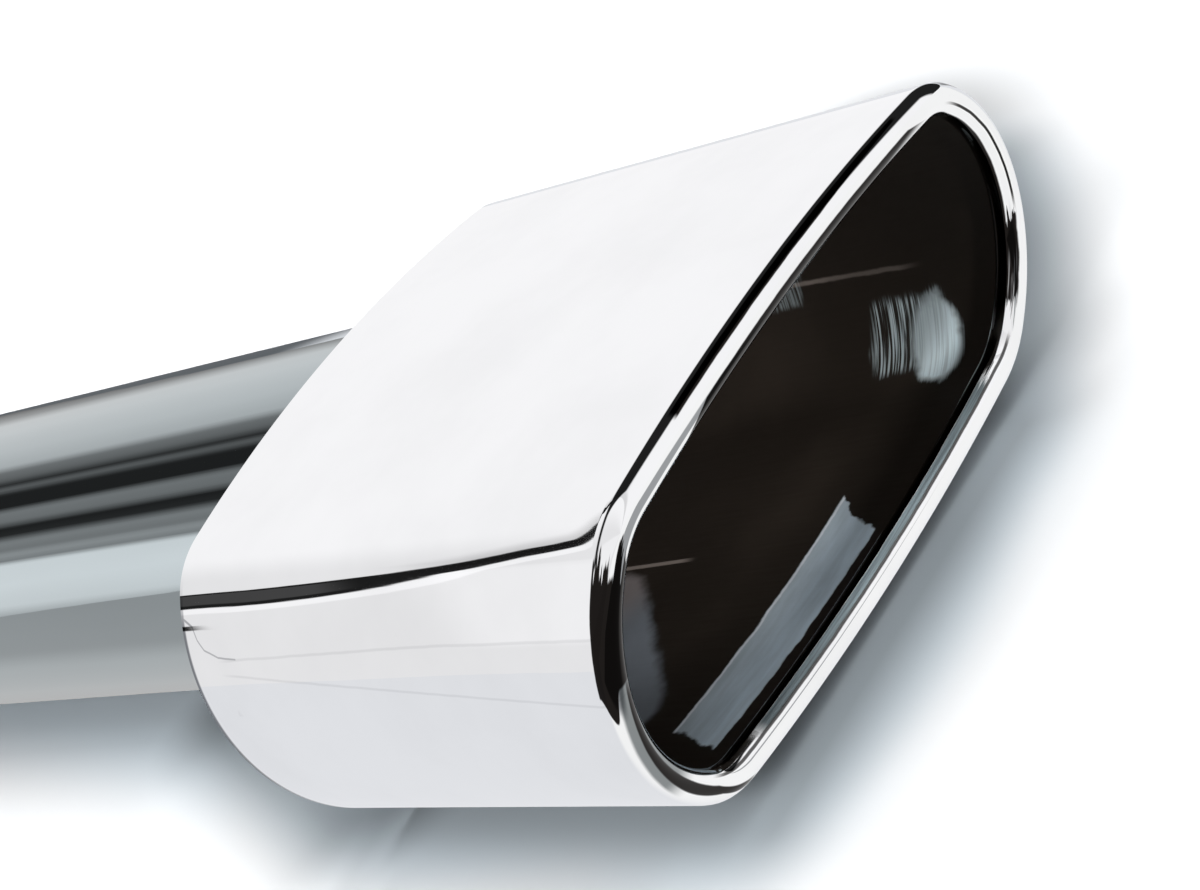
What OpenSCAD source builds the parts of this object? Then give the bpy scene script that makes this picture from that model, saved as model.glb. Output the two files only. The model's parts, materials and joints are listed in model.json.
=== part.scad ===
// Exhaust tip: a crowned oblong shell of thin sheet with a slanted, rolled mouth,
// closed at the rear by an end plate that carries a round inlet pipe.
// Millimetres. X runs along the pipe from its open rear end to the mouth, Z is up,
// and the origin is the centre of the inlet face, where the tip is fixed to a tailpipe.

/* [Mouth] */
// Width of the mouth over the rolled lip
mouth_w = 154; // [120:1:190]
// Height of the mouth over the rolled lip, seen along the pipe
mouth_h = 73.5; // [60:0.5:90]
// Rise of the crown across each wide face at the mouth
mouth_crown = 6.6; // [4:0.1:10]
// Bulge of each narrow end at the mouth
mouth_bulge = 27; // [18:0.5:28]
// Slant of the mouth, the upper wall being the longer one
mouth_slant = 18.5; // [0:0.5:35]

/* [Shell] */
// Thickness of the sheet that the shell is formed from
sheet_t = 1.0; // [0.8:0.1:1.5]
// Length of the shell along its axis
shell_l = 113; // [90:1:160]
// Width of the shell at its rear edge
rear_w = 150.5; // [120:0.5:190]
// Rise of the crown across each wide face at the rear edge
rear_crown = 8.4; // [4:0.1:10]
// Bulge of each narrow end at the rear edge
rear_bulge = 27; // [18:0.5:29]
// Radius that blends a wide face into a narrow end
corner_r = 20; // [14:0.5:24]
// Outer diameter of the lip that the mouth edge is rolled into
lip_d = 6.4; // [4.5:0.1:8]
// Angle through which the mouth edge is rolled
lip_turn = 280; // [200:5:290]

/* [Inlet pipe] */
// Outer diameter of the inlet pipe
pipe_od = 76.2; // [60:0.1:80]
// Wall of the inlet pipe
pipe_t = 1.6; // [1.2:0.1:3]
// Length of the inlet pipe
pipe_l = 300; // [80:1:400]
// Reach of the inlet pipe past the rear edge of the shell, into the shell
pipe_reach = 12; // [6:1:30]
// Gap between the pipe and the wide walls of the shell
pipe_gap = 0.5; // [0.4:0.1:4]

/* [End plate and weld] */
// Thickness of the end plate
plate_t = 1.5; // [1:0.1:3]
// Depth of the end plate behind the rear edge of the shell
plate_inset = 2; // [1:0.1:4]
// Leg of the fillet weld between pipe and end plate
weld_leg = 2.4; // [1.5:0.1:4]

/* [Hidden] */

// Where things lie along X
rear_x = pipe_l - pipe_reach;
mouth_x = rear_x + shell_l;
plate_x = rear_x + plate_inset;
// The wide walls at the rear just clear the pipe
rear_h = pipe_od + 2 * (pipe_gap + sheet_t);
lip_r = lip_d / 2;
// Half the height of the weld bead, a little under the wide walls
weld_top = rear_h / 2 - sheet_t - 0.35;

// Segments of a quarter outline: wide face, corner, narrow end
WIDE_STEPS = 8;
CORNER_STEPS = 8;
END_STEPS = 5;
// Segments of the outer and of the inner face of the rolled lip
LIP_STEPS = 12;
ROUND = 96;

STEEL = [0.86, 0.87, 0.88];
DULL_STEEL = [0.62, 0.63, 0.65];

// Radius of an arc with this half chord and this rise
function arc_r(half, rise) = (half * half + rise * rise) / (2 * rise);

// Point and outward normal at a normal angle on an arc: [y, z, normal y, normal z]
function arc_point(centre, r, angle) =
    [centre[0] + r * sin(angle), centre[1] + r * cos(angle), sin(angle), cos(angle)];

// Quarter of a crowned oblong, from the middle of the top round to the middle of the
// +Y end: a wide arc, a corner arc inside both its neighbours, and an end arc
function quarter(w, h, crown, bulge) =
    let (
        wide_r = arc_r(w / 2, crown),
        end_r = arc_r(h / 2, bulge),
        wide_c = [0, h / 2 - wide_r],
        end_c = [w / 2 - end_r, 0],
        // The corner centre lies where two circles about those centres cross
        span = norm(end_c - wide_c),
        along = (end_c - wide_c) / span,
        reach_wide = wide_r - corner_r,
        reach_end = end_r - corner_r,
        foot = (reach_wide * reach_wide - reach_end * reach_end + span * span) / (2 * span),
        rise = sqrt(reach_wide * reach_wide - foot * foot),
        corner_c = wide_c + foot * along + rise * [along[1], -along[0]],
        wide_end = atan2(corner_c[0] - wide_c[0], corner_c[1] - wide_c[1]),
        corner_end = atan2(corner_c[0] - end_c[0], corner_c[1] - end_c[1])
    )
    concat(
        [for (i = [0:WIDE_STEPS - 1]) arc_point(wide_c, wide_r, wide_end * i / WIDE_STEPS)],
        [for (i = [0:CORNER_STEPS - 1])
            arc_point(corner_c, corner_r, wide_end + (corner_end - wide_end) * i / CORNER_STEPS)],
        [for (i = [0:END_STEPS])
            arc_point(end_c, end_r, corner_end + (90 - corner_end) * i / END_STEPS)]
    );

// The quarter mirrored into a closed outline
function mirrored(p, y, z) = [p[0] * y, p[1] * z, p[2] * y, p[3] * z];
function outline(q) =
    let (last = len(q) - 1)
    concat(
        q,
        [for (i = [last - 1:-1:0]) mirrored(q[i], 1, -1)],
        [for (i = [1:last]) mirrored(q[i], -1, -1)],
        [for (i = [last - 1:-1:1]) mirrored(q[i], -1, 1)]
    );

REAR = outline(quarter(rear_w, rear_h, rear_crown, rear_bulge));
MOUTH = outline(quarter(mouth_w, mouth_h, mouth_crown, mouth_bulge));
AROUND = len(REAR);

// A point of an outline moved inward by a depth
function inward(p, depth) = [p[0] - depth * p[2], p[1] - depth * p[3]];

// Where the centre of the rolled lip lies for each place round the mouth
function lip_centre(i) =
    let (c = inward(MOUTH[i], lip_r))
    [mouth_x + c[1] * tan(mouth_slant), c[0], c[1]];

// A point of the lip at a radius about its centre, turned from outward to forward
function lip_point(i, r, angle) =
    lip_centre(i) + r * [sin(angle), cos(angle) * MOUTH[i][2], cos(angle) * MOUTH[i][3]];

// The shell wall at a depth under its outer face, at a distance along X
function wall_at(i, depth, x) =
    let (
        back = inward(REAR[i], depth),
        front = lip_point(i, lip_r - depth, 0),
        share = (x - rear_x) / (front[0] - rear_x)
    )
    [x, back[0] + share * (front[1] - back[0]), back[1] + share * (front[2] - back[1])];

// One closed section of the sheet: outer face forward, round the lip, back on the inner face
function sheet_section(i) = concat(
    [wall_at(i, 0, rear_x)],
    [for (k = [0:LIP_STEPS]) lip_point(i, lip_r, lip_turn * k / LIP_STEPS)],
    [for (k = [LIP_STEPS:-1:0]) lip_point(i, lip_r - sheet_t, lip_turn * k / LIP_STEPS)],
    [wall_at(i, sheet_t, rear_x)]
);

// Sections swept round a closed loop
module swept_ring(sections) {
    rings = len(sections);
    per = len(sections[0]);
    polyhedron(
        points = [for (s = sections) each s],
        faces = [
            for (i = [0:rings - 1], j = [0:per - 1])
                let (
                    a = i * per + j,
                    b = i * per + (j + 1) % per,
                    c = ((i + 1) % rings) * per + (j + 1) % per,
                    d = ((i + 1) % rings) * per + j
                )
                each [[a, c, b], [a, d, c]]
        ],
        convexity = 8
    );
}

// A block that fills the shell between two places along X
module shell_filling(from_x, to_x) {
    count = AROUND;
    polyhedron(
        points = concat(
            [for (i = [0:count - 1]) wall_at(i, sheet_t, from_x)],
            [for (i = [0:count - 1]) wall_at(i, sheet_t, to_x)]
        ),
        faces = concat(
            [[for (i = [0:count - 1]) i]],
            [[for (i = [count - 1:-1:0]) count + i]],
            [for (i = [0:count - 1])
                let (n = (i + 1) % count)
                each [[i, count + i, count + n], [i, count + n, n]]]
        ),
        convexity = 4
    );
}

// The outer shell, one formed sheet whose mouth edge is rolled inward
module shell() {
    color(STEEL)
        swept_ring([for (i = [0:AROUND - 1]) sheet_section(i)]);
}

// The plate that closes the rear of the shell round the pipe
module end_plate() {
    color(DULL_STEEL)
        difference() {
            shell_filling(plate_x, plate_x + plate_t);
            translate([plate_x - plate_t, 0, 0])
                rotate([0, 90, 0])
                    cylinder(d = pipe_od, h = 3 * plate_t, $fn = ROUND);
        }
}

// The inlet pipe, cut square at both ends, with the bead that welds it to the end plate
module inlet_pipe() {
    color(STEEL)
        rotate([0, 90, 0])
            union() {
                difference() {
                    cylinder(d = pipe_od, h = pipe_l, $fn = ROUND);
                    translate([0, 0, -1])
                        cylinder(d = pipe_od - 2 * pipe_t, h = pipe_l + 2, $fn = ROUND);
                }
                weld_bead();
            }
}

// The fillet weld behind the plate, cut short where the wide walls are near
module weld_bead() {
    pipe_r = pipe_od / 2;
    intersection() {
        rotate_extrude($fn = ROUND)
            polygon([
                [pipe_r - pipe_t / 2, plate_x],
                [pipe_r + weld_leg, plate_x],
                [pipe_r + 0.65 * weld_leg, plate_x - 0.65 * weld_leg],
                [pipe_r, plate_x - weld_leg],
                [pipe_r - pipe_t / 2, plate_x - weld_leg]
            ]);
        translate([-weld_top, -pipe_od, 0])
            cube([2 * weld_top, 2 * pipe_od, pipe_l]);
    }
}

shell();
end_plate();
inlet_pipe();
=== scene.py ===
"""The looks of an oblong exhaust tip: a polished shell with a rolled lip on a polished pipe."""

import json
import math

import bpy
import numpy as np
from mathutils import Matrix, Vector

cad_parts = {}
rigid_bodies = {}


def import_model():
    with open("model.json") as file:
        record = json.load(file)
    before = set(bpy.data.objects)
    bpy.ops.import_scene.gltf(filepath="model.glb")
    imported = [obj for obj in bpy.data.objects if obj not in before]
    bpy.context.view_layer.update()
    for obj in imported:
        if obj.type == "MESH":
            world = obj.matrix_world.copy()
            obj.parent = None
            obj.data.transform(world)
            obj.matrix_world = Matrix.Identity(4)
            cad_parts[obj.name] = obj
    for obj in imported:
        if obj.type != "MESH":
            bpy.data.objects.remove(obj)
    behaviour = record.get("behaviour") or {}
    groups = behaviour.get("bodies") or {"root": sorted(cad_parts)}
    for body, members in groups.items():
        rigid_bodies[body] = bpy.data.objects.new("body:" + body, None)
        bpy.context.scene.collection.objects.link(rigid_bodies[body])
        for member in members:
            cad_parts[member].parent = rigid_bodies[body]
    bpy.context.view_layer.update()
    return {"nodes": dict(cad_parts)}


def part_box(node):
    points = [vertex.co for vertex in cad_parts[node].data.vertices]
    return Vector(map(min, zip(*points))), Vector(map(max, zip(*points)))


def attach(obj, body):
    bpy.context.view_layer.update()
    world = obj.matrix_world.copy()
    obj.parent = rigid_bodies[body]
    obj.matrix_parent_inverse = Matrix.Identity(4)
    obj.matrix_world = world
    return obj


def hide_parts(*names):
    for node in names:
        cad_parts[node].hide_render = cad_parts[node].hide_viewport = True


bl_info = {
    "name": "Exhaust Tip",
    "version": (1, 0, 0),
    "blender": (4, 5, 0),
    "location": "3D View > Sidebar > Exhaust Tip",
    "description": "Builds a polished oblong exhaust tip and the studio it lies in",
    "category": "Add Mesh",
}

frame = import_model()
SHELL_LOW, SHELL_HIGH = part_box("shell")
PIPE_LOW, PIPE_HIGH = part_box("inlet_pipe")
PLATE_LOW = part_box("end_plate")[0]
BODY = "root"

MM = 0.001
FLOOR_Z = SHELL_LOW.z
PIPE_R = (PIPE_HIGH.z - PIPE_LOW.z) / 2

# Width of the photograph in pixels and of the camera's sensor in millimetres
IMAGE_W = 1200
SENSOR_W = 36.0


def rgb(red, green, blue):
    """A colour with full alpha, from three linear values."""
    return (red, green, blue, 1.0)


# Shader expressions

class Wire:
    """A shader socket that can be used in Python expressions."""

    def __init__(self, shader, socket):
        self.shader = shader
        self.socket = socket

    def _math(self, operation, *inputs):
        return self.shader.node("ShaderNodeMath", {"operation": operation}, dict(enumerate(inputs)))

    def __add__(self, other):
        return self._math("ADD", self, other)

    def __radd__(self, other):
        return self._math("ADD", other, self)

    def __sub__(self, other):
        return self._math("SUBTRACT", self, other)

    def __rsub__(self, other):
        return self._math("SUBTRACT", other, self)

    def __mul__(self, other):
        return self._math("MULTIPLY", self, other)

    def __rmul__(self, other):
        return self._math("MULTIPLY", other, self)

    def __truediv__(self, other):
        return self._math("DIVIDE", self, other)

    def power(self, exponent):
        return self._math("POWER", self, exponent)

    def atan2(self, other):
        return self._math("ARCTAN2", self, other)

    def absolute(self):
        return self._math("ABSOLUTE", self)

    def larger(self, other):
        return self._math("MAXIMUM", self, other)

    def smaller(self, other):
        return self._math("MINIMUM", self, other)

    def over(self, limit):
        """How far this value lies over a limit, and 0 below it."""
        return (self - limit).larger(0)

    def under(self, limit):
        """How far this value lies under a limit, and 0 above it."""
        return (limit - self).larger(0)

    def rise(self, start, end):
        """0 up to start, 1 from end on, and smooth between."""
        return self.shader.node("ShaderNodeMapRange", {"interpolation_type": "SMOOTHSTEP"},
                                {"Value": self, "From Min": start, "From Max": end})

    def fall(self, start, end):
        """1 up to start, 0 from end on, and smooth between."""
        return 1 - self.rise(start, end)

    def band(self, low, high, soft):
        """1 between low and high, falling to 0 over a soft edge outside them."""
        return self.rise(low - soft, low) * self.fall(high, high + soft)

    def line(self, centre, inner, outer):
        """1 within the inner distance of a centre, 0 from the outer distance on."""
        return (self - centre).absolute().fall(inner, outer)

    def ramp(self, stops):
        """A colour for this value, from (position, colour) stops."""
        return self.shader.node("ShaderNodeValToRGB", {"stops": stops}, {"Fac": self}, "Color")


class Shader:
    """The node tree of one material or world."""

    def __init__(self, tree):
        self.tree = tree
        tree.nodes.clear()

    def node(self, kind, settings=None, values=None, output=0):
        """One node: its type, its settings, then the values or links of its sockets."""
        made = self.tree.nodes.new(kind)
        for name, value in (settings or {}).items():
            if name == "stops":
                self._set_stops(made.color_ramp, value)
            else:
                setattr(made, name, value)
        for name, value in (values or {}).items():
            if isinstance(value, Wire):
                self.tree.links.new(value.socket, made.inputs[name])
            else:
                made.inputs[name].default_value = value
        return Wire(self, made.outputs[output]) if len(made.outputs) else None

    def _set_stops(self, ramp, stops):
        while len(ramp.elements) < len(stops):
            ramp.elements.new(1.0)
        for element, (position, colour) in zip(ramp.elements, stops):
            element.position = position
            element.color = colour

    def mix(self, share, first, second):
        """A mix of two colours, which are the sockets 6 and 7 of the node."""
        return self.node("ShaderNodeMix", {"data_type": "RGBA"},
                         {"Factor": share, 6: first, 7: second}, 2)

    def position(self):
        """Where a point lies in the row frame, in metres."""
        return self.node("ShaderNodeTexCoord", output="Object")

    def axes(self, vector):
        """The three numbers of a vector."""
        split = self.node("ShaderNodeSeparateXYZ", {}, {"Vector": vector}).socket.node
        return [Wire(self, output) for output in split.outputs]

    def scaled(self, vector, factors):
        return self.node("ShaderNodeVectorMath", {"operation": "MULTIPLY"}, {0: vector, 1: factors})

    def noise(self, vector, scale, detail=2.0, roughness=0.5):
        return self.node("ShaderNodeTexNoise", {}, {"Vector": vector, "Scale": scale,
                                                    "Detail": detail, "Roughness": roughness})

    def bump(self, height, distance, normal=None):
        """A normal bent by a height, on top of another one."""
        values = {"Height": height, "Distance": distance}
        if normal is not None:
            values["Normal"] = normal
        return self.node("ShaderNodeBump", {}, values)

    def surface(self, values):
        """A Principled surface, wired to the output."""
        shader = self.node("ShaderNodeBsdfPrincipled", {}, values)
        self.node("ShaderNodeOutputMaterial", {}, {"Surface": shader})


def new_material(name):
    material = bpy.data.materials.new(name)
    material.use_nodes = True
    return material, Shader(material.node_tree)


# Sizes and colours a user would change

class TipSizes(bpy.types.PropertyGroup):
    """Sizes of the shell that the frame's boxes don't give."""

    mouth_h: bpy.props.FloatProperty(
        name="Mouth height", description="Height of the mouth over the lip",
        default=73.5 * MM, unit="LENGTH")
    mouth_crown: bpy.props.FloatProperty(
        name="Mouth crown", description="Rise of the crown across a wide face at the mouth",
        default=6.6 * MM, unit="LENGTH")
    mouth_bulge: bpy.props.FloatProperty(
        name="Mouth bulge", description="Bulge of a narrow end at the mouth",
        default=27 * MM, unit="LENGTH")
    mouth_slant: bpy.props.FloatProperty(
        name="Mouth slant", description="Slant of the mouth, the upper wall being the longer",
        default=math.radians(18.5), subtype="ANGLE")
    rear_w: bpy.props.FloatProperty(
        name="Rear width", description="Width of the shell at its rear edge",
        default=150.5 * MM, unit="LENGTH")
    rear_crown: bpy.props.FloatProperty(
        name="Rear crown", description="Rise of the crown across a wide face at the rear edge",
        default=8.4 * MM, unit="LENGTH")
    rear_bulge: bpy.props.FloatProperty(
        name="Rear bulge", description="Bulge of a narrow end at the rear edge",
        default=27 * MM, unit="LENGTH")
    corner_r: bpy.props.FloatProperty(
        name="Corner radius", description="Radius that blends a wide face into a narrow end",
        default=20 * MM, unit="LENGTH")
    sheet_t: bpy.props.FloatProperty(
        name="Sheet", description="Thickness of the sheet",
        default=1.0 * MM, unit="LENGTH")
    lip_d: bpy.props.FloatProperty(
        name="Lip diameter", description="Outer diameter of the rolled lip",
        default=6.4 * MM, unit="LENGTH")
    lip_turn: bpy.props.FloatProperty(
        name="Lip turn", description="Angle through which the mouth edge is rolled",
        default=math.radians(280), subtype="ANGLE")
    pipe_t: bpy.props.FloatProperty(
        name="Pipe wall", description="Wall of the inlet pipe",
        default=1.6 * MM, unit="LENGTH")


class TipFinish(bpy.types.PropertyGroup):
    """Colours of the metal and of the studio."""

    shell_colour: bpy.props.FloatVectorProperty(
        name="Shell", description="Reflectance of the polished shell",
        default=(0.93, 0.935, 0.94), subtype="COLOR", min=0, max=1)
    pipe_colour: bpy.props.FloatVectorProperty(
        name="Pipe", description="Reflectance of the inlet pipe",
        default=(0.595, 0.665, 0.695), subtype="COLOR", min=0, max=1)
    inside_colour: bpy.props.FloatVectorProperty(
        name="Inside", description="Colour of the dark inner face",
        default=(0.0145, 0.0112, 0.0088), subtype="COLOR", min=0, max=1)


# Name of the mesh attribute that holds the angle of the lip's roll in degrees
LIP_ROLL = "lip_roll"
# Angle between two faces from which on the edge between them is drawn sharp
SHARP = math.radians(40)


# Shapes

class Outline:
    """A closed crowned oblong as points and outward normals, in the YZ plane."""

    WIDE_STEPS = 44
    CORNER_STEPS = 40
    END_STEPS = 26

    def __init__(self, width, height, crown, bulge, corner_r):
        half_w = width / 2
        half_h = height / 2
        wide_r = (half_w**2 + crown**2) / (2 * crown)
        end_r = (half_h**2 + bulge**2) / (2 * bulge)
        wide_c = np.array([0, half_h - wide_r])
        end_c = np.array([half_w - end_r, 0])
        span = np.linalg.norm(end_c - wide_c)
        along = (end_c - wide_c) / span
        reach_wide = wide_r - corner_r
        reach_end = end_r - corner_r
        foot = (reach_wide**2 - reach_end**2 + span**2) / (2 * span)
        rise = math.sqrt(reach_wide**2 - foot**2)
        corner_c = wide_c + foot * along + rise * np.array([along[1], -along[0]])
        wide_end = math.atan2(*(corner_c - wide_c))
        corner_end = math.atan2(*(corner_c - end_c))
        quarter = np.vstack([
            self.arc(wide_c, wide_r, np.linspace(0, wide_end, self.WIDE_STEPS, endpoint=False)),
            self.arc(corner_c, corner_r,
                     np.linspace(wide_end, corner_end, self.CORNER_STEPS, endpoint=False)),
            self.arc(end_c, end_r, np.linspace(corner_end, math.pi / 2, self.END_STEPS)),
        ])
        whole = np.vstack([
            quarter,
            quarter[-2::-1] * [1, -1, 1, -1],
            quarter[1:] * [-1, -1, -1, -1],
            quarter[-2:0:-1] * [-1, 1, -1, 1],
        ])
        self.points = whole[:, :2]
        self.normals = whole[:, 2:]

    @staticmethod
    def arc(centre, radius, angles):
        normals = np.column_stack([np.sin(angles), np.cos(angles)])
        return np.hstack([centre + radius * normals, normals])


class ShellForm:
    """The shell's sheet: the loft from the rear outline to the slanted mouth, and the lip."""

    def __init__(self, sizes):
        self.lip_r = sizes.lip_d / 2
        self.rear_x = SHELL_LOW.x
        rear_h = SHELL_HIGH.z - SHELL_LOW.z
        mouth_w = SHELL_HIGH.y - SHELL_LOW.y
        lean = math.tan(sizes.mouth_slant)
        self.mouth_x = SHELL_HIGH.x - self.lip_r - lean * (sizes.mouth_h / 2 - self.lip_r)
        self.rear = Outline(sizes.rear_w, rear_h, sizes.rear_crown, sizes.rear_bulge,
                            sizes.corner_r)
        self.mouth = Outline(mouth_w, sizes.mouth_h, sizes.mouth_crown, sizes.mouth_bulge,
                             sizes.corner_r)
        centres = self.mouth.points - self.lip_r * self.mouth.normals
        self.lip_centres = np.column_stack([self.mouth_x + lean * centres[:, 1], centres])
        self.outward = np.column_stack([np.zeros(len(centres)), self.mouth.normals])

    def wall(self, depth, share):
        """The wall under its outer face by a depth, at a share of the way from rear edge to lip."""
        back = self.rear.points - depth * self.rear.normals
        back = np.column_stack([np.full(len(back), self.rear_x), back])
        front = self.lip_centres + (self.lip_r - depth) * self.outward
        return back + share * (front - back)

    def wall_at(self, depth, x):
        """The wall's outline under its outer face by a depth, in one plane across the pipe."""
        back = self.wall(depth, 0)
        front = self.wall(depth, 1)
        share = (x - self.rear_x) / (front[:, :1] - self.rear_x)
        return back + share * (front - back)

    def lip(self, radius, angle):
        """A line along the lip, at a radius and at an angle of its roll from the outer face."""
        forward = np.array([math.sin(angle), 0, 0])
        return self.lip_centres + radius * (math.cos(angle) * self.outward + forward)


def add_object(name, data):
    """A new object that holds the data, in the scene's own collection."""
    made = bpy.data.objects.new(name, data)
    bpy.context.scene.collection.objects.link(made)
    return made


def swept_mesh(name, rows, materials, row_materials=None):
    """A mesh from rows of points, each row a closed loop, with the rows closed into a ring too."""
    rows = np.asarray(rows)
    count, around = rows.shape[:2]
    row = np.arange(count)[:, None]
    column = np.arange(around)[None, :]
    next_row = (row + 1) % count
    next_column = (column + 1) % around
    here = row * around + column
    right = row * around + next_column
    above = next_row * around + column
    corner = next_row * around + next_column
    faces = np.stack([here, above, corner, right], axis=-1).reshape(-1, 4)
    mesh = bpy.data.meshes.new(name)
    mesh.vertices.add(count * around)
    mesh.vertices.foreach_set("co", rows.reshape(-1).astype(np.float32))
    mesh.loops.add(faces.size)
    mesh.loops.foreach_set("vertex_index", faces.reshape(-1).astype(np.int32))
    mesh.polygons.add(len(faces))
    mesh.polygons.foreach_set("loop_start", np.arange(0, faces.size, 4, dtype=np.int32))
    for material in materials:
        mesh.materials.append(material)
    if row_materials is not None:
        slots = np.repeat(row_materials, around).astype(np.int32)
        mesh.polygons.foreach_set("material_index", slots)
    mesh.update(calc_edges=True)
    mesh.validate()
    mesh.shade_smooth()
    mesh.set_sharp_from_angle(angle=SHARP)
    return add_object(name, mesh)


def circle(radius, x, count):
    angles = np.arange(count) * 2 * math.pi / count
    return np.column_stack([np.full(count, x), radius * np.sin(angles), radius * np.cos(angles)])


# Materials. Places are in metres in the row frame, and angles of the lip's roll are in degrees.

BLACK = rgb(0.0, 0.0, 0.0)
# Near black of the lip's painted dark reflections and of its dark inner side
LIP_BLACK = rgb(0.014, 0.012, 0.011)


def capsule(x, y, start, end):
    """Distance, in the plane of x and y, from the line between two points."""
    run_x = end[0] - start[0]
    run_y = end[1] - start[1]
    share = ((x - start[0]) * run_x + (y - start[1]) * run_y) / (run_x**2 + run_y**2)
    share = share.larger(0).smaller(1)
    off_x = x - start[0] - share * run_x
    off_y = y - start[1] - share * run_y
    return (off_x * off_x + off_y * off_y).power(0.5)


class PaintedLipReflections:
    """Painted reflections on the lip, dark and grey, and its dark inner side, by the angle of its
    roll and the place along it.
    """

    # Angles of the roll at which the painted dark lines run, the painted grey band lies and the
    # dark inner side starts
    LOW_LINE = 124
    FAR_LINE = 114
    GREY_BAND = (126, 156)
    LOW_DARK = (156, 161)
    END_DARK = (150, 156)
    HIGH_DARK = (94, 99)
    # Steepness of the line that climbs round the near end, in degrees a square metre and a metre
    CLIMB = 21700
    RUN_OUT = 4500

    def __init__(self, shader, place):
        _, self.y, self.z = shader.axes(place)
        roll = shader.node("ShaderNodeAttribute", {"attribute_name": LIP_ROLL}, {}, "Fac")
        self.wander = (shader.noise(place, 160.0, 3.0) - 0.5) * 10
        self.rolled = roll + self.wander * 0.5
        along_lip = {"X": roll * 0.15, "Y": self.y * 60, "Z": self.z * 60}
        self.streaks = shader.noise(shader.node("ShaderNodeCombineXYZ", {}, along_lip), 1.0, 3.0)
        self.torn = (self.streaks - 0.5) * 0.012
        # The lip along the lower wall and the upper wall, its far end and its near lower corner
        self.low = self.z.fall(-0.0265, -0.0235) * self.y.band(-0.063, 0.0570, 0.003)
        self.high = self.z.rise(0.0285, 0.0305) * self.y.band(-0.055, 0.054, 0.003)
        self.far = self.y.rise(0.058, 0.063) * (1 - self.low)
        self.near_corner = self.y.fall(-0.060, -0.056) * self.z.fall(-0.012, -0.002)
        # How far a point is from the middle of the line that climbs round the near end
        bend = self.z.over(-0.03).power(2) * self.CLIMB - self.y.over(-0.0625) * self.RUN_OUT + 78
        self.off_bend = roll + self.wander * 0.3 - bend

    def film(self):
        """Painted reflection: a grey band between the dark line and the dark inner side of the
        lower lip.
        """
        ends = self.y.rise(-0.050, -0.044) * (self.y + self.torn * 0.8).fall(0.046, 0.051)
        return self.rolled.band(*self.GREY_BAND, 3) * self.low * ends

    def corner_grey_band(self):
        """Painted reflection: a thin grey band on both sides of the line that climbs round the near
        end.
        """
        return (self.off_bend.band(-38, 40, 14) * self.z.band(-0.014, 0.008, 0.006)
                * self.y.fall(-0.066, -0.060))

    def low_line(self):
        """Painted reflection: a dark line along the lower lip, which climbs round the near end and
        gets thinner.
        """
        straight = self.rolled.line(self.LOW_LINE, 3.5, 7.5) * self.low * 0.9
        half = self.z.fall(-0.024, 0.004) * 7 + self.z.rise(-0.030, -0.018) * 7
        climbing = (self.off_bend.absolute() - half).fall(3, 9)
        return straight.larger(climbing * self.z.fall(0.006, 0.012) * self.y.fall(-0.055, -0.052))

    def far_line(self):
        """Painted reflection: a thin dark line round the far end."""
        return (self.rolled.line(self.FAR_LINE, 3.2, 6.5) * self.far
                * self.z.rise(-0.007, -0.002) * self.z.fall(0.029, 0.032))

    def soot(self):
        """The dark inner side of the lip, which reaches further out on the upper one."""
        lower = self.rolled.rise(*self.LOW_DARK) * self.low
        ends = self.rolled.rise(*self.END_DARK) * self.far.larger(self.near_corner)
        off_middle = self.y.under(-0.030) + self.y.over(0.045)
        upper = (self.rolled - off_middle * 4000).rise(*self.HIGH_DARK) * self.high
        return (lower + ends * (1 - self.low)).larger(upper)

    def patch(self):
        """Painted reflection: a torn dark patch at the far lower corner."""
        patch = (self.rolled + self.wander).rise(108, 116) * self.far
        patch = patch * (self.z + self.wander * 0.0002 + self.torn).band(-0.0215, -0.0068, 0.0006)
        return patch * (1 - self.streaks.rise(0.5, 0.62) * self.z.fall(-0.018, -0.012) * 0.4)

    def near_block(self):
        """Painted reflection: a dark block where the upper lip turns down at the near end, with a
        notched foot and a torn top.
        """
        foot = 0.0085 - self.rolled.line(38, 0, 34) * 0.0055
        top = self.z + self.rolled * 0.00003 + self.wander * 0.0003 + self.torn
        block = (self.z + self.wander * 0.00012 - foot).rise(0.0, 0.0006) * top.fall(0.0280, 0.0288)
        return block * self.rolled.rise(1, 4) * self.y.fall(-0.058, -0.055)

    def high_stripe(self):
        """Painted reflection: a dark stripe along the upper lip, which gets thinner towards the far
        end.
        """
        inner_side = (self.rolled + self.y.over(0.015) * 450).fall(50, 54)
        ends = (self.y + self.wander * 0.0002).band(-0.0360, 0.0440, 0.002)
        return self.rolled.rise(22, 27) * inner_side * self.high * ends

    def tail(self):
        """Painted reflection: the dark tail of that stripe, past a gap, at the far upper corner."""
        inner_side = (self.rolled + self.y.over(0.0625) * 1500).fall(44, 50)
        ends = self.y.rise(0.0600, 0.0625) * self.y.fall(0.070, 0.0745)
        return self.rolled.rise(1, 4) * inner_side * self.z.rise(0.010, 0.014) * ends

    def dark(self):
        """All the painted dark reflections and the dark inner side."""
        whole = self.low_line()
        for mark in (self.far_line(), self.soot(), self.patch(), self.near_block(),
                     self.high_stripe(), self.tail()):
            whole = whole.larger(mark)
        return whole


# The hooked painted reflection line as points in the XZ plane
HOOK = (
    (0.2888, 0.0268), (0.2915, 0.0255), (0.2925, 0.0233),
    (0.2942, 0.0216), (0.2984, 0.0202), (0.3040, 0.0196),
)


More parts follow.
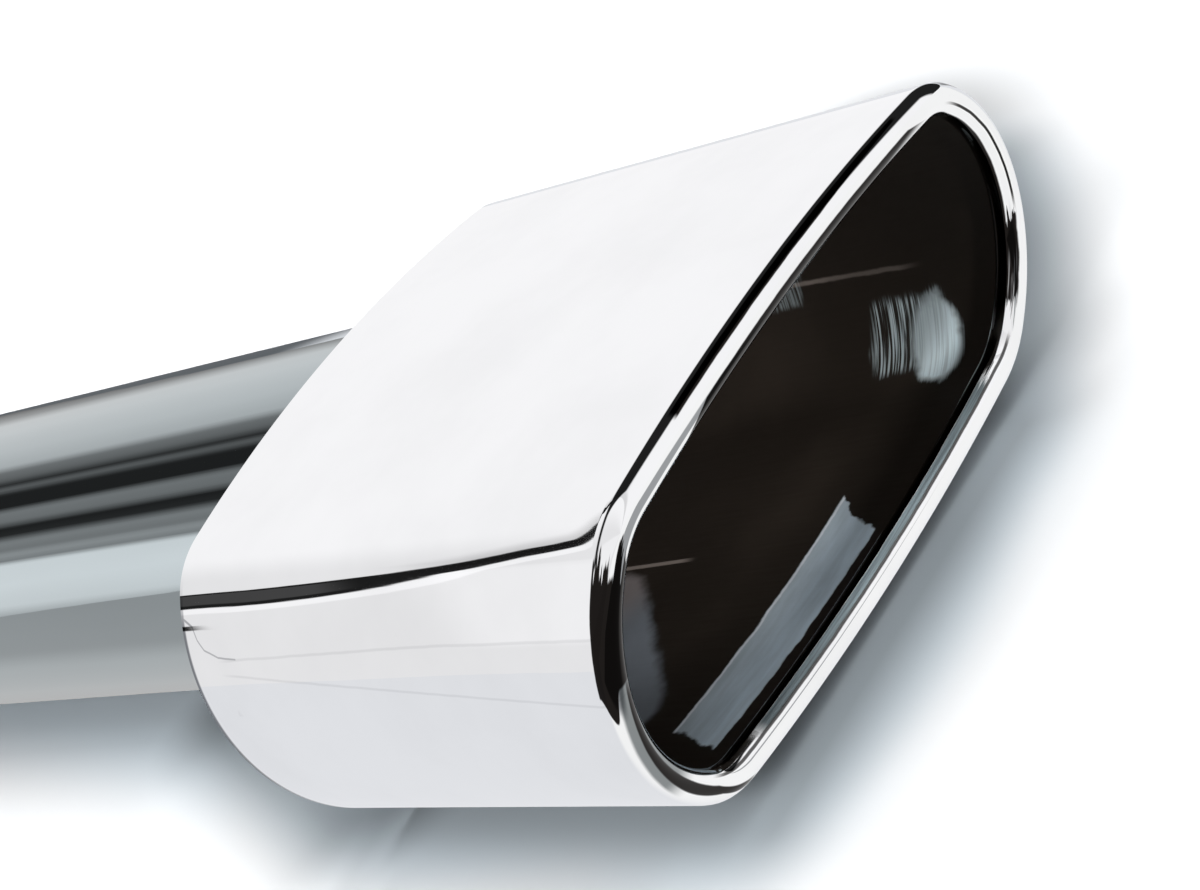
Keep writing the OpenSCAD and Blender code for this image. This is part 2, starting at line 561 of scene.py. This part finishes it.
def reflection_lines_and_rear_shade(x, y, z, ragged):
    """Painted reflection lines in the near side, a hooked one and two long ones, and painted shade
    as a dark band along the rear edge.
    """
    z_ragged = z + ragged
    painted_marks = capsule(x, z_ragged, *HOOK[:2]).fall(0.00012, 0.0003) * 0.6
    for start, end in zip(HOOK[1:], HOOK[2:]):
        painted_marks = painted_marks.larger(capsule(x, z_ragged, start, end).fall(0.00008, 0.00025) * 0.5)
    upper = z_ragged - 0.0195 + x.over(0.36) * 0.02
    lower = z_ragged - 0.0170 + (x - 0.298) * 0.09
    long_lines = upper.absolute().smaller(lower.absolute()).fall(0.0001, 0.00035)
    painted_marks = painted_marks.larger(long_lines * x.rise(0.297, 0.303) * 0.13) * y.fall(-0.064, -0.062)
    # Painted shade: a dark band along the rear edge of the sides, where the shell meets the pipe
    rear_shade = x.fall(0.2886, 0.2892) * y.absolute().rise(0.045, 0.055) * z.fall(0.024, 0.033) * 0.9
    return painted_marks.larger(rear_shade)


def polished_shell(finish):
    """Mirror-polished stainless sheet: faint ripple of the forming, hairlines, thin haze, and
    painted reflections and shade on the lip and near side.
    """
    material, shader = new_material("polished_shell")
    place = shader.position()
    ripple = shader.noise(shader.scaled(place, (14, 22, 22)), 1.0, 1.0)
    hairlines = shader.noise(shader.scaled(place, (25, 900, 900)), 1.0, 3.0)
    haze = shader.noise(place, 24.0, 4.0, 0.6)
    roughness = 0.008 + haze.rise(0.45, 0.8) * 0.014 + hairlines * 0.008
    bright = rgb(*finish.shell_colour)
    dulled = rgb(*[0.95 * value for value in finish.shell_colour])
    lip_paint = PaintedLipReflections(shader, place)
    film = lip_paint.film()
    band_grey = shader.mix(lip_paint.streaks.rise(0.3, 0.65), rgb(0.036, 0.045, 0.049),
                       rgb(0.072, 0.089, 0.096))
    painted_marks = reflection_lines_and_rear_shade(*shader.axes(place), lip_paint.wander * 0.00003)
    colour = shader.mix(haze.rise(0.35, 0.75), bright, dulled)
    # Painted reflection lines and painted shade on the near side
    colour = shader.mix(painted_marks, colour, rgb(0.12, 0.13, 0.15))
    # Painted reflection: a thin grey band round the near corner of the lip
    colour = shader.mix(lip_paint.corner_grey_band() * 0.85, colour, rgb(0.12, 0.14, 0.145))
    # Painted reflection: the grey band along the lower lip, made a rougher diffuse layer below
    colour = shader.mix(film, colour, band_grey)
    # Painted dark reflections on the lip, and its dark inner side
    colour = shader.mix(lip_paint.dark(), colour, LIP_BLACK)
    shader.surface({"Base Color": colour, "Metallic": 1 - film, "Roughness": roughness + film * 0.5,
                    "Normal": shader.bump(ripple, 0.0004, shader.bump(hairlines, 0.000002))})
    return material


class InsideSheenAndSeams:
    """Painted reflections and a painted highlight on the dark inside, and its seam and scratch."""

    def __init__(self, shader, place):
        self.x, self.y, self.z = shader.axes(place)
        self.clouds = shader.noise(place, 30.0, 3.0)
        self.smear = shader.noise(shader.scaled(place, (500, 90, 90)), 1.0, 4.0)
        self.lines = shader.noise(shader.scaled(place, (2100, 60, 60)), 1.0, 3.0)
        self.ragged = (shader.noise(place, 220.0, 3.0) - 0.5) * 0.0016
        self.x_ragged = self.x + self.ragged
        self.y_ragged = self.y + self.ragged * 2
        self.lower_wall = self.z.fall(-0.030, -0.026)
        # The place across the painted reflection strip, which slants a little
        self.slant = self.x_ragged - (self.y + 0.01) * 0.033

    def strip(self):
        """Painted reflection: a pale strip along the lower wall behind the lip."""
        near_end = self.y_ragged + (self.slant - 0.3620) * 0.40
        far_end = self.y_ragged + (self.slant - 0.3621) * 0.52 - self.slant.under(0.3674) * 0.52
        ends = near_end.rise(-0.0401, -0.0391) * far_end.fall(0.0227, 0.0236)
        # How bright the painted reflection is, in clouds and smears
        bare = 0.72 + self.clouds.rise(0.35, 0.65) * 0.14 + self.smear.rise(0.3, 0.7) * 0.14
        return self.slant.band(0.3622, 0.3774, 0.0006) * ends * self.lower_wall * bare

    def dim_patch(self):
        """Painted reflection: a dim patch further in, at the near end of the lower wall."""
        away = capsule(self.x + self.ragged * 1.5, self.y + self.ragged * 1.5,
                       (0.307, 0.001), (0.340, -0.034))
        # How bright the painted reflection is, in clouds
        bare = 0.75 + self.clouds.rise(0.35, 0.65) * 0.25
        return away.fall(0.0085, 0.0120) * self.lower_wall * bare

    def far_corner(self):
        """Painted highlight across the far lower corner: a bright spot, sparse lines beside it, a
        smudge.
        """
        spot = capsule(self.x_ragged, self.y_ragged, (0.3717, 0.0638), (0.3723, 0.0624))
        spot = (spot + (self.lines - 0.5) * 0.002).fall(0.0050, 0.0074)
        spot = spot * (0.72 + self.lines.rise(0.35, 0.6) * 0.28)
        spot = spot * (0.42 + (self.x - self.y * 0.9).rise(0.308, 0.322) * 0.58)
        sparse = (self.x_ragged - (self.y - 0.0635).absolute() * 0.3).band(0.3555, 0.367, 0.003)
        sparse = sparse * self.y_ragged.band(0.0605, 0.0690, 0.002)
        sparse = sparse * self.lines.rise(0.44, 0.62) * 0.42
        smudge = (self.x_ragged - self.z * 0.3).band(0.3335, 0.3405, 0.002)
        smudge = smudge * (self.z + self.ragged).band(-0.0165, -0.0115, 0.0015)
        smudge = smudge * self.lines.rise(0.35, 0.62) * self.y.rise(0.060, 0.065) * 0.14
        below = (self.z + (self.lines - 0.5) * 0.006).fall(-0.0200, -0.0180)
        return spot.larger(sparse) * below + smudge

    def scratches(self):
        """Line of a weld seam along the lower wall and a scratch along the far end."""
        seam = self.y.band(0.0131, 0.0138, 0.0004) * self.x_ragged.band(0.300, 0.322, 0.006)
        scratch = self.z + (self.x - 0.338) * 0.04 + self.ragged * 0.5
        scratch = scratch.band(-0.0132, -0.0128, 0.0005) * self.x_ragged.band(0.338, 0.364, 0.008)
        scratch = scratch * self.y.rise(0.060, 0.065) * (0.4 + self.clouds.rise(0.35, 0.6) * 0.6)
        return (seam * self.lower_wall).larger(scratch)


def dark_inside(finish):
    """The inner face: dark, with painted reflections and a painted highlight near the mouth, and a
    faint seam.
    """
    material, shader = new_material("dark_inside")
    place = shader.position()
    sheen_and_seams = InsideSheenAndSeams(shader, place)
    brushing = shader.noise(shader.scaled(place, (60, 1100, 1100)), 1.0, 3.0)
    dark = rgb(*finish.inside_colour)
    lifted = rgb(*[1.4 * value for value in finish.inside_colour])
    # Colours of the painted reflections: a dim patch further in and a pale strip with a brighter
    # edge
    patch_reflection = shader.mix((sheen_and_seams.y - sheen_and_seams.x).rise(-0.330, -0.305), rgb(0.30, 0.34, 0.39),
                      rgb(0.30, 0.27, 0.27))
    strip_reflection = shader.mix(sheen_and_seams.slant.rise(0.361, 0.3755), rgb(0.40, 0.47, 0.52),
                       rgb(0.68, 0.82, 0.93))
    strip_reflection = shader.mix(sheen_and_seams.slant.line(0.3624, 0.0002, 0.0006) * 0.5, strip_reflection,
                       rgb(0.95, 0.97, 0.98))
    colour = shader.mix(sheen_and_seams.clouds.rise(0.4, 0.75), dark, lifted)
    colour = shader.mix(sheen_and_seams.dim_patch() * 0.5, colour, patch_reflection)
    colour = shader.mix(sheen_and_seams.strip(), colour, strip_reflection)
    # Painted highlight at the far lower corner
    colour = shader.mix(sheen_and_seams.far_corner(), colour, rgb(0.81, 0.95, 0.99))
    colour = shader.mix(sheen_and_seams.scratches() * 0.5, colour, rgb(0.32, 0.27, 0.24))
    shader.surface({"Base Color": colour, "Metallic": 0.0, "Roughness": 0.5 + brushing * 0.15,
                    "Specular IOR Level": 0.2, "Normal": shader.bump(brushing, 0.00002)})
    return material


# Slope of the pipe's polish along its length, which keeps its reflections apart from the shell's
PIPE_TAPER = 0.087


def polished_pipe(finish):
    """Tube polished lengthwise: fine draw lines and a slightly greyer metal than the shell."""
    material, shader = new_material("polished_pipe")
    place = shader.position()
    draw_lines = shader.noise(shader.scaled(place, (4, 700, 700)), 1.0, 4.0, 0.6)
    haze = shader.noise(shader.scaled(place, (6, 40, 40)), 1.0, 3.0)
    bright = rgb(*finish.pipe_colour)
    dulled = rgb(*[0.9 * value for value in finish.pipe_colour])
    along = shader.axes(place)[0]
    taper = shader.bump(along * PIPE_TAPER, 1.0)
    shader.surface({"Base Color": shader.mix(haze.rise(0.3, 0.8), bright, dulled),
                    "Metallic": 1.0, "Roughness": 0.012 + draw_lines * 0.025 + haze * 0.01,
                    "Normal": shader.bump(draw_lines, 0.000004, taper)})
    return material


def pipe_inside(finish):
    """The pipe's bore: bare mill finish under a brown film of soot."""
    material, shader = new_material("pipe_inside")
    place = shader.position()
    film = shader.noise(place, 45.0, 4.0)
    scale = shader.noise(shader.scaled(place, (30, 300, 300)), 1.0, 3.0)
    colour = shader.mix(film.rise(0.3, 0.7), rgb(0.055, 0.048, 0.042), rgb(0.16, 0.15, 0.14))
    shader.surface({"Base Color": colour, "Metallic": 0.7, "Roughness": 0.38 + scale * 0.2,
                    "Normal": shader.bump(scale, 0.00003)})
    return material


def mill_plate():
    """Plain plate with rolling lines and a straw tint next to the weld."""
    material, shader = new_material("mill_plate")
    place = shader.position()
    _, across, height = shader.axes(place)
    radius = (across * across + height * height).power(0.5)
    rolling = shader.noise(shader.scaled(place, (40, 40, 1400)), 1.0, 3.0)
    clouds = shader.noise(place, 60.0, 3.0)
    tint = radius.fall(PIPE_R + 2 * MM, PIPE_R + 12 * MM) * (0.6 + clouds * 0.4)
    plain = shader.mix(clouds, rgb(0.42, 0.42, 0.43), rgb(0.54, 0.54, 0.55))
    colour = shader.mix(tint, plain, rgb(0.42, 0.30, 0.16))
    shader.surface({"Base Color": colour, "Metallic": 1.0, "Roughness": 0.3 + rolling * 0.2,
                    "Normal": shader.bump(rolling, 0.00001)})
    return material


def weld_metal():
    """Weld bead: bright ripples with brown and blue heat tint between them."""
    material, shader = new_material("weld_metal")
    place = shader.position()
    tint = shader.noise(place, 160.0, 3.0)
    grit = shader.noise(place, 2200.0, 2.0)
    colour = tint.ramp([(0.3, rgb(0.50, 0.47, 0.43)), (0.5, rgb(0.42, 0.30, 0.17)),
                        (0.62, rgb(0.22, 0.20, 0.30)), (0.75, rgb(0.48, 0.46, 0.44))])
    shader.surface({"Base Color": colour, "Metallic": 1.0, "Roughness": 0.28 + grit * 0.2,
                    "Normal": shader.bump(grit, 0.00002)})
    return material


# Painted shadows on the floor, each round a line in the XY plane: the line's ends, the
# distances from it where the shadow starts to fade and where it ends, and the shadow's depth
FLOOR_PAINTED_SHADOWS = (
    ((0.377, 0.073), (0.326, 0.140), 0.007, 0.034, 0.50),
    ((0.197, -0.017), (0.269, -0.048), 0.008, 0.038, 0.64),
    ((0.397, 0.046), (0.397, -0.060), -0.005, 0.022, 0.40),
    ((0.293, -0.014), (0.365, -0.016), 0.039, 0.065, 0.20),
    ((0.050, -0.034), (0.168, -0.031), -0.018, 0.037, 0.27),
    ((0.303, 0.085), (0.269, 0.130), 0.050, 0.096, 0.65),
    ((0.283, -0.055), (0.289, -0.085), 0.001, 0.010, 0.14),
)
# Where the floor turns bluish in its painted shadows, in the same way
FLOOR_SHADOW_TINT = (
    ((0.040, 0.030), (0.355, -0.015), 0.040, 0.070),
    ((0.385, -0.050), (0.385, 0.030), 0.010, 0.040),
    ((0.300, 0.030), (0.275, 0.075), 0.090, 0.115),
)


def painted_board(shader, place):
    """The floor's own colour: nearly white, with painted soft shadows and their blue tint by the
    object.
    """
    x, y, _ = shader.axes(place)
    # clear is the share of the floor's colour left under the painted shadows
    clear = 1
    for start, end, inner, outer, depth in FLOOR_PAINTED_SHADOWS:
        clear = (capsule(x, y, start, end).rise(inner, outer) * depth + (1 - depth)) * clear
    out_of_shadow_tint = 1
    for start, end, inner, outer in FLOOR_SHADOW_TINT:
        out_of_shadow_tint = capsule(x, y, start, end).rise(inner, outer) * out_of_shadow_tint
    pale = shader.mix(shader.noise(place, 8.0, 2.0), rgb(0.855, 0.87, 0.885),
                      rgb(0.875, 0.89, 0.905))
    colour = shader.mix(out_of_shadow_tint, rgb(0.788, 0.891, 0.965), pale)
    return shader.mix(clear, BLACK, colour)


def mirrored_board(shader, place):
    """The patched greys that the floor glows in for metal, in place of its lit colour."""
    x, y, _ = shader.axes(place)
    # Painted shade: greys below the pipe, where the floor lies in the pipe's shadow
    beside_pipe = (y + 0.035).absolute().rise(0.008, 0.03)
    shade_below_pipe = shader.mix(beside_pipe, rgb(0.55, 0.55, 0.55), rgb(0.42, 0.42, 0.42))
    shade_below_pipe = shader.mix(y.rise(0.0, 0.02), shade_below_pipe, rgb(0.13, 0.14, 0.15))
    past_end = (x - y.rise(0.0, 0.02) * 0.115).rise(0.165, 0.20)
    past_near = (y + 0.1 + (0.165 - x) * 0.5).fall(-0.02, 0.02)
    past_far = (y - 0.11 - x.under(0.165) * 0.6).rise(-0.02, 0.02)
    past_pipe = past_end.larger(past_near).larger(past_far)
    white = shader.mix(x.rise(0.375, 0.40), rgb(0.79, 0.80, 0.83), rgb(0.97, 0.97, 0.97))
    before_mouth = x.band(0.442, 0.60, 0.012) * y.band(-0.25, 0.04, 0.02)
    colour = shader.mix(past_pipe, shade_below_pipe, white)
    return shader.mix(before_mouth, colour, rgb(0.34, 0.35, 0.36))


def floor_material():
    """A pale board that keeps the object's shadow from the lamps, with painted shadows added, and
    looks patched grey to metal.
    """
    material, shader = new_material("pale_floor")
    place = shader.position()
    board = shader.node("ShaderNodeBsdfDiffuse", {}, {"Color": painted_board(shader, place)})
    mirrored = shader.node("ShaderNodeEmission", {}, {"Color": mirrored_board(shader, place)})
    glossy = shader.node("ShaderNodeLightPath", output="Is Glossy Ray")
    surface = shader.node("ShaderNodeMixShader", {}, {0: glossy, 1: board, 2: mirrored})
    shader.node("ShaderNodeOutputMaterial", {}, {"Surface": surface})
    return material


# The stripes painted on the card, as roll about the X axis in degrees and grey
PIPE_STRIPES = (
    (-101, 0.6), (-93, 0.9), (-75, 1.0), (-58.5, 0.95),
    (-55, 0.3), (-50, 0.4), (-46, 0.25), (-40, 0.3),
    (-34, 0.03), (-28, 0.02), (-22, 0.22), (-15, 0.25),
    (-10, 0.02), (1, 0.02), (6, 0.15), (10, 0.03),
    (16, 0.17), (22, 0.22), (28, 0.57), (44, 0.67),
    (68, 0.73), (80, 0.7), (92, 0.35), (98, 0.2),
)


def card_material():
    """The card behind the pipe: grey streaks that run out from its centre, mirrored as stripes."""
    material, shader = new_material("streaked_card")
    _, y, z = shader.axes(shader.position())
    # The roll of a point about the X axis, from 0 to 1: 0.5 is up and 0.75 is +Y
    share = y.atan2(z) * (0.5 / math.pi) + 0.5
    stops = [(0.5 + roll / 360, rgb(grey, grey, grey)) for roll, grey in PIPE_STRIPES]
    glow = shader.node("ShaderNodeEmission", {}, {"Color": share.ramp(stops)})
    shader.node("ShaderNodeOutputMaterial", {}, {"Surface": glow})
    return material


def tent_grey(along, roll):
    """The tent that metal sees, by a direction's part along X and its roll about X in degrees."""
    # A dark slot with a faint core. It lies lower towards the back, where the shell's rear sees it
    lean = ((along + 0.86) / 0.115).larger(0).smaller(1.2).power(2.2) * 27.8
    lean = lean + along.rise(-0.748, -0.732) * 14
    past_slot = roll - lean + 42
    half = (4.3 - along.rise(-0.83, -0.75) * 1.4) * (1 - along.rise(-0.66, -0.40) * 0.8)
    slot = (past_slot.absolute() - half).fall(0, 0.7) * along.fall(-0.36, -0.28)
    core = past_slot.band(-2.3, 2.3, 0.8) * along.fall(-0.818, -0.803) * 0.045
    # A dark wedge at the very back and a dark ring overhead
    wedge = roll.line(-57, 0.9, 1.6) * along.fall(-0.847, -0.843)
    ring_end = -0.28 + roll.rise(-5, 30) * 0.68
    ring = roll.band(-42, 92, 5) * along.rise(-0.58, -0.48) * (along - ring_end).fall(-0.06, 0.06)
    # The white cloth itself
    grey = roll.rise(-25, 5) * 0.14 + 0.84
    grey = grey + along.rise(-0.80, -0.78) * roll.band(-72, -36, 5) * 0.09
    off_slot = past_slot.rise(4, 12).larger(past_slot.fall(-1, 0))
    grey = grey * (0.75 + off_slot.larger(along.fall(-0.80, -0.77)) * 0.25)
    grey = grey + past_slot.band(-7.2, -4.2, 0.8) * along.fall(-0.75, -0.735) * 0.14
    return grey * (1 - slot.larger(ring).larger(wedge) * 0.985) + core


# Operators

def sizes_of(context):
    return context.scene.tip_sizes


def finish_of(context):
    return context.scene.tip_finish


class TIP_OT_shell(bpy.types.Operator):
    """Builds the polished shell with its rolled lip"""

    bl_idname = "tip.shell"
    bl_label = "Shell"

    WALL_ROWS = 20
    # Rows close to the lip, as shares of the wall, which keep it straight up to the lip
    LAST_ROWS = (0.98, 0.995)
    LIP_ROWS = 44
    CURL_ROWS = 26

    def execute(self, context):
        sizes = sizes_of(context)
        finish = finish_of(context)
        form = ShellForm(sizes)
        turn = sizes.lip_turn
        inner_r = form.lip_r - sizes.sheet_t
        lip_angles = np.linspace(0, turn, self.LIP_ROWS)
        shares = [*np.linspace(0, 1, self.WALL_ROWS, endpoint=False), *self.LAST_ROWS]
        rows = [form.wall(0, share) for share in shares]
        rows += [form.lip(form.lip_r, angle) for angle in lip_angles]
        outside = len(rows)
        rows += [form.lip(inner_r, angle) for angle in np.linspace(turn, 0, self.CURL_ROWS)]
        rows += [form.wall(sizes.sheet_t, share) for share in reversed(shares)]
        inside = np.arange(len(rows)) >= outside - 1
        inside[-1] = False
        shell = swept_mesh("shell_sheet", rows, [polished_shell(finish), dark_inside(finish)],
                           inside.astype(int))
        rolls = np.zeros(len(rows))
        rolls[len(shares):outside] = np.degrees(lip_angles)
        roll = shell.data.attributes.new(LIP_ROLL, "FLOAT", "POINT")
        roll.data.foreach_set("value", np.repeat(rolls, len(rows[0])).astype(np.float32))
        shell.visible_diffuse = False
        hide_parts("shell")
        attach(shell, BODY)
        return {"FINISHED"}


class TIP_OT_pipe(bpy.types.Operator):
    """Builds the round inlet pipe with eased ends"""

    bl_idname = "tip.pipe"
    bl_label = "Inlet pipe"

    AROUND = 256
    LENGTH_ROWS = 24
    EASE = 0.3 * MM

    def execute(self, context):
        finish = finish_of(context)
        ease = self.EASE
        outer = PIPE_R
        inner = outer - sizes_of(context).pipe_t
        low = PIPE_LOW.x
        high = PIPE_HIGH.x
        between = np.linspace(low + 2 * ease, high - 2 * ease, self.LENGTH_ROWS)
        outside = [(low + ease, outer), *[(x, outer) for x in between], (high - ease, outer)]
        front = [(high, outer - ease), (high, inner + ease)]
        bore = [(high - ease, inner), *[(x, inner) for x in reversed(between)]]
        rear = [(low + ease, inner), (low, inner + ease), (low, outer - ease)]
        in_bore = np.repeat([0, 1, 0], [len(outside + front), len(bore), len(rear)])
        rows = [circle(radius, x, self.AROUND) for x, radius in outside + front + bore + rear]
        pipe = swept_mesh("pipe_tube", rows, [polished_pipe(finish), pipe_inside(finish)], in_bore)
        pipe.visible_diffuse = False
        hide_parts("inlet_pipe")
        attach(pipe, BODY)
        return {"FINISHED"}


class TIP_OT_plate(bpy.types.Operator):
    """Gives the end plate its mill finish"""

    bl_idname = "tip.plate"
    bl_label = "End plate"

    def execute(self, context):
        plate = frame["nodes"]["end_plate"]
        material = mill_plate()
        plate.data.materials.clear()
        plate.data.materials.append(material)
        return {"FINISHED"}


class TIP_OT_weld(bpy.types.Operator):
    """Builds the rippled weld bead between pipe, plate and shell"""

    bl_idname = "tip.weld"
    bl_label = "Pipe weld"

    RIPPLES = 96
    PER_RIPPLE = 8
    PROFILE = 10
    LEG = 2.0 * MM
    # How much thinner the bead is between two ripples
    SWELL = 0.12
    # How far the bead sinks into the pipe and keeps off the shell
    BITE = 0.02 * MM

    def execute(self, context):
        sheet_t = sizes_of(context).sheet_t
        whole_turn = 2 * math.pi
        count = self.RIPPLES * self.PER_RIPPLE
        angles = np.arange(count) * whole_turn / count
        sine = np.sin(angles)
        cosine = np.cos(angles)
        # The bead is narrower where the shell's wide walls come close to the pipe
        limit = ShellForm(sizes_of(context)).wall_at(sheet_t, PLATE_LOW.x)
        wall_angles = np.arctan2(limit[:, 1], limit[:, 2]) % whole_turn
        order = np.argsort(wall_angles)
        wall_r = np.interp(angles, wall_angles[order], np.hypot(limit[:, 1], limit[:, 2])[order],
                           period=whole_turn)
        beat = (angles * self.RIPPLES / whole_turn) % 1.0
        swell = 1 - self.SWELL * (1 - np.sqrt(np.clip(1 - (2 * beat - 1) ** 2, 0, 1)))
        leg = self.LEG * swell
        wide = np.minimum(leg, wall_r - PIPE_R - self.BITE)
        rows = []
        for turn in np.linspace(0, math.pi / 2, self.PROFILE):
            out = PIPE_R + wide * math.cos(turn)
            back = PLATE_LOW.x - leg * math.sin(turn)
            rows.append(np.column_stack([back, out * sine, out * cosine]))
        inner = PIPE_R - self.BITE
        for x in (rows[-1][:, 0], np.full(count, PLATE_LOW.x)):
            rows.append(np.column_stack([x, inner * sine, inner * cosine]))
        weld = swept_mesh("weld_bead", rows, [weld_metal()])
        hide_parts("inlet_pipe")
        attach(weld, BODY)
        return {"FINISHED"}


# Where the camera stands, how it is turned and how far it zooms, from the fit to the photograph
CAMERA_SPOT = Vector((0.7141, -0.27454, 0.19837))
CAMERA_RIGHT = Vector((0.6616, 0.5031, -0.5560))
CAMERA_UP = Vector((0.1108, 0.6678, 0.7360))
FOCAL_PX = 2552.5


class TIP_OT_stage(bpy.types.Operator):
    """Builds the floor, the cards, the lamps, the world and the camera"""

    bl_idname = "tip.stage"
    bl_label = "Studio"

    FLOOR_SIZE = 12.0

    # Each lamp as compass direction, height and spread in degrees, and its share of the light
    LAMPS = (
        ("key", 280, 34, 23, 0.19),
        ("front_high", 285, 65, 56, 0.18),
        ("back_high", 95, 65, 56, 0.27),
        ("mouth_side", 0, 45, 42, 0.15),
        ("overhead", 0, 90, 56, 0.27),
    )
    # Reflectance for which the lamps' shares make the floor white
    FLOOR_WHITE = 0.78
    MOUTH_LAMP_SPOT = Vector((0.62, -0.06, 0.03))
    MOUTH_LAMP_AIM = Vector((0.39, 0.005, -0.004))
    MOUTH_LAMP_SIZE = 0.05
    MOUTH_LAMP_SPREAD = math.radians(26)
    MOUTH_LAMP_POWER = 0.085
    # The card's place and radius, how far it reaches round on each side, and in how many steps
    CARD_X = -0.3
    CARD_R = 0.395
    CARD_REACH = math.radians(105)
    CARD_STEPS = 72
    # How much wider the card gets on the far side, and between which angles
    CARD_FLARE = 0.07
    FLARE_ANGLES = (0.7, 1.2)
    WORLD_TINT = (1, 0.995, 1.008)
    # What the world adds to the light on the floor
    FILL = 0.07

    def execute(self, context):
        self.floor()
        self.back_card()
        self.world(context.scene)
        for lamp in self.LAMPS:
            self.lamp(*lamp)
        self.mouth_lamp()
        self.camera(context.scene)
        context.scene.view_settings.view_transform = "Standard"
        return {"FINISHED"}

    def sheet(self, name, points, faces, material):
        """A thin piece of the studio, from its points and faces."""
        mesh = bpy.data.meshes.new(name)
        mesh.from_pydata(points, [], faces)
        mesh.materials.append(material)
        return add_object(name, mesh)

    def floor(self):
        half = self.FLOOR_SIZE / 2
        corners = [(-half, -half, FLOOR_Z), (half, -half, FLOOR_Z),
                   (half, half, FLOOR_Z), (-half, half, FLOOR_Z)]
        made = self.sheet("floor", corners, [(0, 1, 2, 3)], floor_material())

    def back_card(self):
        """A part of a disc behind the pipe that only metal sees."""
        angles = np.linspace(-self.CARD_REACH, self.CARD_REACH, self.CARD_STEPS)
        reach = self.CARD_R + np.interp(angles, self.FLARE_ANGLES, (0, self.CARD_FLARE))
        rim = [(self.CARD_X, r * math.sin(angle), r * math.cos(angle))
               for r, angle in zip(reach, angles)]
        faces = [(0, turn, turn + 1) for turn in range(1, self.CARD_STEPS)]
        made = self.sheet("back_card", [(self.CARD_X, 0, 0)] + rim, faces, card_material())
        made.visible_camera = False
        made.visible_diffuse = False
        made.visible_shadow = False

    def lamp(self, name, compass, height, spread, share):
        """A soft distant lamp that lights the floor and isn't mirrored."""
        compass = math.radians(compass)
        height = math.radians(height)
        up = math.sin(height)
        level = math.cos(height)
        towards = Vector((level * math.cos(compass), level * math.sin(compass), up))
        data = bpy.data.lights.new(name, "SUN")
        data.angle = math.radians(spread)
        data.energy = share * math.pi / (self.FLOOR_WHITE * up)
        data.cycles.use_multiple_importance_sampling = False
        made = add_object(name, data)
        made.rotation_euler = towards.to_track_quat("Z", "Y").to_euler()
        made.visible_glossy = False

    def mouth_lamp(self):
        """A narrow lamp that shines into the mouth and on the shell only."""
        data = bpy.data.lights.new("mouth_lamp", "AREA")
        data.shape = "SQUARE"
        data.size = self.MOUTH_LAMP_SIZE
        data.spread = self.MOUTH_LAMP_SPREAD
        data.energy = self.MOUTH_LAMP_POWER
        lit = bpy.data.collections.new("lit_by_mouth_lamp")
        for piece in bpy.context.scene.objects:
            if piece.name == "shell_sheet":
                lit.objects.link(piece)
        made = add_object("mouth_lamp", data)
        made.location = self.MOUTH_LAMP_SPOT
        aim = self.MOUTH_LAMP_AIM - self.MOUTH_LAMP_SPOT
        made.rotation_euler = aim.to_track_quat("-Z", "Y").to_euler()
        made.visible_glossy = False
        made.light_linking.receiver_collection = lit

    def world(self, scene):
        """White for the camera, dim for the shadows, and for metal a white tent with a slot."""
        world = bpy.data.worlds.new("studio")
        world.use_nodes = True
        scene.world = world
        shader = Shader(world.node_tree)
        direction = shader.node("ShaderNodeTexCoord", output="Generated")
        along, side, height = shader.axes(direction)
        tent = tent_grey(along, side.atan2(height) * (180 / math.pi))
        glossy = shader.node("ShaderNodeLightPath", output="Is Glossy Ray")
        seen = shader.node("ShaderNodeLightPath", output="Is Camera Ray")
        level = glossy * tent + seen + (1 - glossy.larger(seen)) * self.FILL
        colour = shader.node("ShaderNodeVectorMath", {"operation": "SCALE"},
                             {0: self.WORLD_TINT, "Scale": level})
        glow = shader.node("ShaderNodeBackground", {}, {"Color": colour})
        shader.node("ShaderNodeOutputWorld", {}, {"Surface": glow})

    def camera(self, scene):
        data = bpy.data.cameras.new("camera")
        data.sensor_fit = "HORIZONTAL"
        data.sensor_width = SENSOR_W
        data.lens = FOCAL_PX / IMAGE_W * SENSOR_W
        data.clip_start = 0.01
        made = add_object("camera", data)
        back = CAMERA_RIGHT.cross(CAMERA_UP)
        turn = Matrix((CAMERA_RIGHT, CAMERA_UP, back)).transposed()
        made.matrix_world = Matrix.Translation(CAMERA_SPOT) @ turn.to_4x4()
        scene.camera = made


class TIP_PT_panel(bpy.types.Panel):
    """Lists the pieces of the exhaust tip"""

    bl_label = "Exhaust Tip"
    bl_idname = "TIP_PT_panel"
    bl_space_type = "VIEW_3D"
    bl_region_type = "UI"
    bl_category = "Exhaust Tip"

    def draw(self, context):
        for operator in PIECES:
            self.layout.operator(operator.bl_idname)
        for group in (sizes_of(context), finish_of(context)):
            for name in group.__annotations__:
                self.layout.prop(group, name)


PIECES = (TIP_OT_shell, TIP_OT_pipe, TIP_OT_plate, TIP_OT_weld, TIP_OT_stage)
CLASSES = (TipSizes, TipFinish, *PIECES, TIP_PT_panel)


def register():
    for kind in CLASSES:
        bpy.utils.register_class(kind)
    bpy.types.Scene.tip_sizes = bpy.props.PointerProperty(type=TipSizes)
    bpy.types.Scene.tip_finish = bpy.props.PointerProperty(type=TipFinish)


def unregister():
    del bpy.types.Scene.tip_finish
    del bpy.types.Scene.tip_sizes
    for kind in reversed(CLASSES):
        bpy.utils.unregister_class(kind)


def main():
    register()
    bpy.ops.tip.shell()
    bpy.ops.tip.pipe()
    bpy.ops.tip.plate()
    bpy.ops.tip.weld()
    bpy.ops.tip.stage()


if __name__ == "__main__":
    main()
